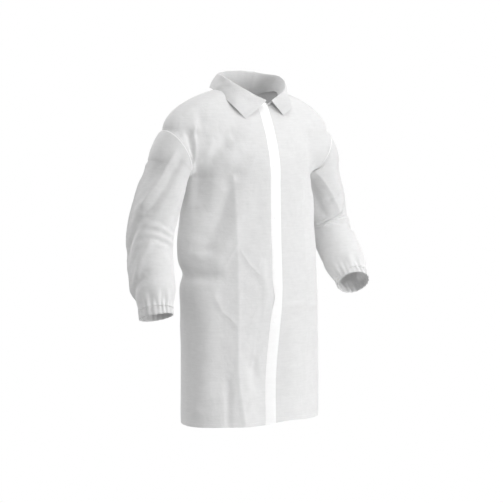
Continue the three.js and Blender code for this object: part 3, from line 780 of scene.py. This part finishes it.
def make_sleeve(arm, own_folds, seed):
    rows, place, elbow = sleeve_rows(arm, own_folds, seed)
    cut = int(np.searchsorted(place, elbow * SLEEVE_SPLIT))
    allowance = np.zeros((cut, SLEEVE_SIDES), bool)
    allowance[:3] = True
    top = cloth_object(f"{arm}_sleeve_top_cloth", rows[:cut + 1], one_ply, wrap=True, double=allowance)
    declare(top, armhole_bodies(arm), "coat_cloth", f"{arm}_sleeve_upper")
    low = cloth_object(f"{arm}_sleeve_low_cloth", rows[cut:], one_ply, wrap=True)
    bodies = (f"{arm}_upper_sleeve", f"{arm}_lower_sleeve", *stretch_across(arm, "elbow", *ELBOW_STRETCH))
    declare(low, bodies, "coat_cloth", f"{arm}_sleeve_lower")


make_sleeve("right", right_sleeve_folds, 41)
make_sleeve("left", left_sleeve_folds, 51)

# ---------------------------------------------------------------- Cuffs
# Each cuff is a folded band of cloth with an elastic sewn inside it, which gathers both the band and the end
# of the sleeve.
CUFF_WIDTH = 22.0
CUFF_DEEP = 2.8           # from the outer to the inner ply of the band


def fine_relief(name, colour, roughness, strength, distance, pattern, **settings):
    """A plain material whose small relief comes from one texture node of the given kind."""
    material = bpy.data.materials.new(name)
    material.use_nodes = True
    tree = material.node_tree
    texture = add_node(tree, pattern, **settings)
    relief = add_node(tree, "ShaderNodeBump", {"Height": texture.outputs["Fac"]}, Strength=strength,
                      Distance=distance)
    surface = tree.nodes["Principled BSDF"]
    tree.links.new(relief.outputs["Normal"], surface.inputs["Normal"])
    surface.inputs["Base Color"].default_value = linear(colour)
    surface.inputs["Roughness"].default_value = roughness
    return material


# flat knitted polyester elastic
elastic_white = fine_relief("knitted_elastic_white", "#e9eaea", 0.75, 0.5, 0.0003, "ShaderNodeTexWave",
                            Scale=420.0, bands_direction="Z")


def cuff_ring(end, seed, radius, along, sway):
    """One ring of the cuff, at a distance along from the sleeve's end."""
    centre, tangent, front, out = end
    angle = np.linspace(0, 2 * np.pi, 2 * SLEEVE_SIDES, endpoint=False)
    deep = radius + sway * gathers(angle, seed)
    lower = 1 + 0.2 * np.sin(angle) * smooth((along - 4) / 10)   # it sags on the outside of the wrist
    ring = centre + tangent * (along * lower + 0.5 * gathers(angle, seed + 3))[:, None]
    return ring + deep[:, None] * (np.cos(angle)[:, None] * front + np.sin(angle)[:, None] * out)


def make_cuff(arm, seed):
    end = sleeve_end(arm)
    inner = WRIST_RADIUS + 0.8 - CUFF_DEEP
    outside = [(WRIST_RADIUS + 0.8 + puff, along, sway) for puff, along, sway in
               ((0, 1.0, 2.4), (0.1, 3.0, 2.1), (0.4, 7.0, 1.7), (0.5, 11.0, 1.5), (0.4, 15.0, 1.5),
                (0.1, 19.0, 1.5))]
    middle_ply = inner + CUFF_DEEP / 2
    fold_over = [(WRIST_RADIUS + 0.2, 21.4, 1.5), (middle_ply, CUFF_WIDTH, 1.4), (inner + 0.4, 21.4, 1.3)]
    inside = [(inner, along, 1.2) for along in (19.0, 14.0, 9.0, 4.0, 1.5)]
    rows = np.stack([cuff_ring(end, seed, *ring) for ring in outside + fold_over + inside])
    cuff = cloth_object(f"{arm}_cuff_cloth", rows, one_ply, wrap=True)
    declare(cuff, f"{arm}_lower_sleeve", "coat_cloth", f"{arm}_cuff_casing")
    band = np.stack([cuff_ring(end, seed, middle_ply, along, 1.3) for along in (5.0, 9.0, 13.0, 17.0)])
    elastic = cloth_object(f"{arm}_cuff_elastic_band", band, elastic_white, wall=0.9, wrap=True)
    declare(elastic, f"{arm}_lower_sleeve", "elastic", f"{arm}_cuff_elastic")


make_cuff("right", 41)
make_cuff("left", 51)

# ---------------------------------------------------------------- Collar
# A shirt collar of two plies: it stands up from the neck seam, rolls over and falls, and its points lie on
# the chest. The right point lies flat and open, and the left one is folded closer to the neck.
COLLAR_COLUMNS = 150
PLY_APART = 0.55
FORWARD = (13.0, -11.0, 2.0)                                    # the stand leans to the front and to one side
ROLL = ((6, 54), (6, 48), (7, 36), (9, 22), (8, 9))            # outwards and up from the neck seam
EDGE = ((16, 8), (15, 6), (15, -4), (44, -26), (0, 0))
STATIONS = (0, 45, 90, 135, 174)                                # degrees from the back of the neck
POINTS = {-1: (-71.0, -72.0, neck_front - 42), 1: (66.0, -68.0, neck_front - 31)}


def neck_seam(angle):
    """Points of the neckline at angles in degrees, 0 at the back and 180 at the front."""
    turn = np.radians(angle)
    forward = np.cos(turn)
    front = np.abs(angle) > 90
    depth = NECK_DEPTH["front"]
    x = NECK_HALF_WIDTH * np.sin(turn)
    z = neck_side - np.where(front, NECK_DROP, BACK_DROP) * forward ** 2
    back = seam_plane(z) + body_depth(x / half_width(z), z, "back")
    return np.stack([x, np.where(front, SEAM_BACK + depth * forward, back), z], -1)


def outward(points):
    flat = points - [0, SEAM_BACK, 0]
    flat = flat * [1, 1, 0]
    return flat / np.linalg.norm(flat, axis=-1, keepdims=True)


def spline(points, count):
    """A smooth line through points (axis 0), with count points."""
    points = np.asarray(points, float)
    padded = np.concatenate([[2 * points[0] - points[1]], points, [2 * points[-1] - points[-2]]])
    place = np.linspace(0, len(points) - 1, count)
    low = np.minimum(place.astype(int), len(points) - 2)
    t = (place - low).reshape((-1,) + (1,) * (points.ndim - 1))
    a, b, c, d = (padded[low + k] for k in range(4))
    square, cube = 2 * a - 5 * b + 4 * c - d, 3 * b - a - 3 * c + d
    return 0.5 * (2 * b + (c - a) * t + square * t ** 2 + cube * t ** 3)


def collar_line(offsets, points=None):
    line = []
    for side, order in ((-1, range(4, 0, -1)), (1, range(0, 5))):
        for k in order:
            seam = neck_seam(np.array(side * STATIONS[k], float))
            out, up = offsets[k]
            up = up + BACK_DROP * np.cos(np.radians(STATIONS[k])) ** 2 * (k < 3)
            place = seam + outward(seam) * out + [0, 0, up]
            line.append(np.array(points[side]) if points and k == 4 else place)
    return spline(line, COLLAR_COLUMNS)


def make_collar():
    t = np.linspace(-4, 4, COLLAR_COLUMNS)
    angle = np.sign(t) * np.interp(np.abs(t), range(5), STATIONS)
    seam = neck_seam(angle)
    seam = seam + outward(seam) * 1.7 - [0, 0, 4.0]      # the panel's edge lies between the two plies
    top = collar_line(ROLL) + FORWARD
    rim = collar_line(EDGE, POINTS)
    out = outward(top)
    before = top - 2.2 * out - [0, 0, 2.4]
    after = top + 2.2 * out - [0, 0, 2.4]
    stand = mix(seam, before, 0.5)
    leaf = [mix(after, rim, share) + bulge * out for share, bulge in ((0.33, 0.4), (0.66, 1.2))]
    rows = spline(np.stack([seam, stand, before, top, after, *leaf, rim]), 40)
    across = t[None, :] * 42 + 0 * rows[..., 2]
    down = np.linspace(0, 100, 40)[:, None] + 0 * across
    lift = 1.3 * ripple(across, down, 70, 61) + 0.5 * ripple(across, down, 26, 62)
    lift += folds(across, down, (
        ([(-112, 52), (-96, 74), (-84, 96)], 3.2, 7, True), ([(-150, 62), (-132, 100)], -3.0, 9),
        ([(-62, 58), (-48, 96)], 2.4, 9), ([(140, 60), (120, 96)], 3.0, 8, True),
        ([(86, 60), (96, 98)], -3, 9), ([(32, 4), (30, 44)], 2.6, 6, True)))
    calm = smooth(down / 12) * smooth((168 - np.abs(across)) / 25 + 0.2)
    push = grid_normals(rows, False)
    rows = rows + push * (lift * calm)[..., None]
    push = grid_normals(rows, False)
    outer = 1 if (push[20, COLLAR_COLUMNS // 2] @ [0, 0, 1]) > 0 else -1
    for name, shift in (("upper_collar", outer * PLY_APART), ("under_collar", -outer * PLY_APART)):
        piece = cloth_object(f"{name}_cloth", rows + push * shift, one_ply)
        declare(piece, "coat_body", "coat_cloth", name)


make_collar()

# ---------------------------------------------------------------- Snaps
# Five white plastic snaps: a cap and a socket clamp the right strip between them, and a stud and a washer the
# left one.
SNAP_HEIGHTS = (905, 755, 605, 455, 305)
LATHE_SIDES = 40
SNAP_PARTS = {   # radius and height above the strip's middle, round a closed outline
    "cap": [(0, 0.5), (6.0, 0.5), (6.2, 0.8), (6.1, 1.2), (5.5, 1.5), (4.9, 1.35), (4.5, 1.3), (2.5, 1.4),
            (0, 1.45)],
    "socket": [(2.6, -0.5), (4.9, -0.5), (5.0, -0.8), (4.8, -1.6), (4.2, -2.3), (3.2, -2.5), (2.7, -2.2),
               (2.55, -1.4)],
    "stud": [(0, 0.5), (4.9, 0.5), (5.0, 0.8), (4.7, 1.1), (2.6, 1.2), (1.7, 1.4), (1.6, 1.8), (1.9, 2.2),
             (1.7, 2.6), (0, 2.8)],
    "washer": [(0, -0.5), (4.9, -0.5), (5.1, -0.8), (4.9, -1.2), (3.0, -1.3), (0, -1.3)],
}
# injection-moulded acetal, slightly glossy
snap_white = fine_relief("acetal_white", "#f7f7f7", 0.38, 0.15, 0.0002, "ShaderNodeTexNoise",
                         Scale=900.0, Detail=2.0)


def turned(name, outline, place, normal, material):
    """A turned plastic part: an outline of (radius, height) spun about the snap's axis."""
    normal = normal / np.linalg.norm(normal)
    across = np.cross(normal, (0, 0, 1.0))
    across /= np.linalg.norm(across)
    up = np.cross(across, normal)
    mesh = bpy.data.meshes.new(name)
    shape = bmesh.new()
    rings = []
    for radius, height in outline:
        turns = np.linspace(0, 2 * np.pi, LATHE_SIDES, endpoint=False) if radius else [0.0]
        spots = [place + normal * height + radius * (np.cos(a) * across + np.sin(a) * up) for a in turns]
        rings.append([shape.verts.new((spot + centre_shift) * MM) for spot in spots])
    pairs = list(zip(rings, rings[1:])) + ([(rings[-1], rings[0])] if len(rings[0]) > 1 else [])
    for low, high in pairs:
        for k in range(LATHE_SIDES):
            after = k + 1
            corners = (low[k % len(low)], low[after % len(low)], high[after % len(high)], high[k % len(high)])
            shape.faces.new(list(dict.fromkeys(corners)))
    bmesh.ops.recalc_face_normals(shape, faces=shape.faces)
    shape.to_mesh(mesh)
    shape.free()
    mesh.polygons.foreach_set("use_smooth", [True] * len(mesh.polygons))
    mesh.set_sharp_from_angle(angle=np.radians(40))
    mesh.materials.append(material)
    return add_object(name, mesh)


def body_of(node):
    holder = frame["nodes"][node].parent
    return next(name for name, empty in frame["bodies"].items() if empty == holder)


def make_snaps():
    for part, outline in SNAP_PARTS.items():
        side = -1 if part in ("cap", "socket") else 1
        for number, height in enumerate(SNAP_HEIGHTS, 1):
            z = np.array([height - 1.5, height, height + 1.5])
            patch = strip_rows(side, z, np.full(3, -1.5), np.full(3, 1.5), 3)
            normal = grid_normals(patch, False)[1, 1]
            normal *= -np.sign(normal[1])
            node = f"snap_{part}_{number}"
            piece = turned(f"{node}_plastic", outline, patch[1, 1], normal, snap_white)
            declare(piece, body_of(node), "snap_plastic", node)


make_snaps()

# ---------------------------------------------------------------- Stitching
# White polyester thread: a row of short lock stitches along each edge of the strips, round the armholes and
# the cuffs, and a centimetre above the hem's plain edge. Each row follows the shape of the cloth it is sewn
# into.
STITCH_PITCH = 4.0
STITCH_LENGTH = 2.9
THREAD = 0.45
HEM_ROW = 10.0           # height of the hem's row of stitches

# spun polyester sewing thread
thread_white = fine_relief("polyester_thread_white", "#f4f4f4", 0.7, 0.3, 0.0001, "ShaderNodeTexWave",
                           Scale=1500.0, bands_direction="DIAGONAL")


def lockstitch_tree():
    """Puts one small rounded stitch every pitch along a line, turned along it, each a little different."""
    tree = bpy.data.node_groups.new("lockstitch_row", "GeometryNodeTree")
    tree.interface.new_socket("Geometry", in_out="INPUT", socket_type="NodeSocketGeometry")
    for name in ("Stitch pitch", "Stitch length", "Thread thickness"):
        tree.interface.new_socket(name, in_out="INPUT", socket_type="NodeSocketFloat")
    tree.interface.new_socket("Geometry", in_out="OUTPUT", socket_type="NodeSocketGeometry")
    given = add_node(tree, "NodeGroupInput").outputs
    curve = add_node(tree, "GeometryNodeMeshToCurve", {"Mesh": given["Geometry"]})
    even = add_node(tree, "GeometryNodeResampleCurve", {"Curve": curve.outputs[0],
                                                        "Length": given["Stitch pitch"]}, mode="LENGTH")
    thick = given["Thread thickness"]
    size = add_node(tree, "ShaderNodeCombineXYZ", {"X": given["Stitch length"], "Y": thick, "Z": thick})
    bead = add_node(tree, "GeometryNodeMeshUVSphere", Segments=6, Rings=4, Radius=0.5)
    stitch = add_node(tree, "GeometryNodeTransform", {"Geometry": bead.outputs[0], "Scale": size.outputs[0]})
    tangent = add_node(tree, "GeometryNodeInputTangent")
    turn = add_node(tree, "FunctionNodeAlignRotationToVector", {"Vector": tangent.outputs[0]}, axis="X")
    uneven = add_node(tree, "FunctionNodeRandomValue", data_type="FLOAT")
    uneven.inputs[2].default_value = 0.88
    uneven.inputs[3].default_value = 1.08
    uneven.inputs["Seed"].default_value = 7
    placed = add_node(tree, "GeometryNodeInstanceOnPoints",
                      {"Points": even.outputs[0], "Instance": stitch.outputs[0], "Rotation": turn.outputs[0],
                       "Scale": uneven.outputs[1]})
    real = add_node(tree, "GeometryNodeRealizeInstances", {"Geometry": placed.outputs[0]})
    finish = add_node(tree, "GeometryNodeSetMaterial", {"Geometry": real.outputs[0]})
    finish.inputs["Material"].default_value = thread_white
    add_node(tree, "NodeGroupOutput", {"Geometry": finish.outputs[0]})
    return tree


lockstitch = lockstitch_tree()


def sew(name, lines, body, slot):
    """Rows of stitches along lines of points in millimetres, as one plain mesh on the body of their cloth."""
    points = (np.concatenate(lines) + centre_shift) * MM
    ends = np.cumsum([len(line) for line in lines])
    edges = [(i, i + 1) for i in range(len(points) - 1) if i + 1 not in ends]
    guide = bpy.data.meshes.new(f"{name}_line")
    guide.from_pydata(points.tolist(), edges, [])
    row = add_object(f"{name}_line", guide)
    modifier = row.modifiers.new("stitches", "NODES")
    modifier.node_group = lockstitch
    values = {"Stitch pitch": STITCH_PITCH * MM, "Stitch length": STITCH_LENGTH * MM,
              "Thread thickness": THREAD * MM}
    for item in lockstitch.interface.items_tree:
        if item.name in values:
            modifier[item.identifier] = values[item.name]
    bpy.context.view_layer.update()
    mesh = bpy.data.meshes.new_from_object(row.evaluated_get(bpy.context.evaluated_depsgraph_get()))
    bpy.data.objects.remove(row)
    thing = add_object(name, mesh)
    declare(thing, body, slot)


def closed(line):
    return np.concatenate([line, line[:1]])


def sew_strips():
    for side, arm in ((-1, "right"), (1, "left")):
        z = heights(4, neck_front + 1, 6)
        edge = strip_edge(z, side) - STITCH_INSET
        lines = []
        for far in (np.full_like(z, -STRIP_HALF + STITCH_INSET), edge):
            rows = strip_rows(side, z, far - 0.4, far + 0.4, 3)
            lines.append(rows[:, 1] + facing_front(rows)[:, 1] * 0.6)
        sew(f"{arm}_strip_stitches", lines, turning_body(arm), "strip_cloth")


def sew_sleeve(arm, own_folds, seed):
    rows = sleeve_rows(arm, own_folds, seed)[0]
    push = grid_normals(rows, True)
    outwards = -np.sign(np.sum(push[6] * (rows[6].mean(0) - rows[6])))
    sew(f"{arm}_armhole_stitches", [closed(rows[4] + push[4] * (outwards * 0.4))],
        armhole_bodies(arm), "coat_cloth")
    lines = []
    for along, sway in ((3.5, 2.05), (18.0, 1.5)):
        lines.append(closed(cuff_ring(sleeve_end(arm), seed, WRIST_RADIUS + 1.4, along, sway)))
    sew(f"{arm}_cuff_stitches", lines, f"{arm}_lower_sleeve", "coat_cloth")


def sew_hem():
    """One row above the hem's edge, on both fronts and the back."""
    for side, arm, own_folds in ((-1, "right", right_folds), (1, "left", left_folds)):
        z = np.array([HEM_ROW - 1, HEM_ROW, HEM_ROW + 1.0])
        rows = front_rows(strip_edge(z, side), half_width(z), z, 160, side, panel_lift(side), own_folds)
        sew(f"{arm}_hem_stitches", [rows[1] + facing_front(rows)[1] * 0.35], turning_body(arm), "coat_cloth")
    rows = back_rows(np.array([HEM_ROW - 1, HEM_ROW, HEM_ROW + 1.0]), 260)
    push = grid_normals(rows, False)[1]
    push *= np.where(push[:, 1:2] < 0, -1, 1)
    sew("back_hem_stitches", [rows[1] + push * 0.35], "coat_body", "coat_cloth")


sew_strips()
sew_hem()
sew_sleeve("right", right_sleeve_folds, 41)
sew_sleeve("left", left_sleeve_folds, 51)
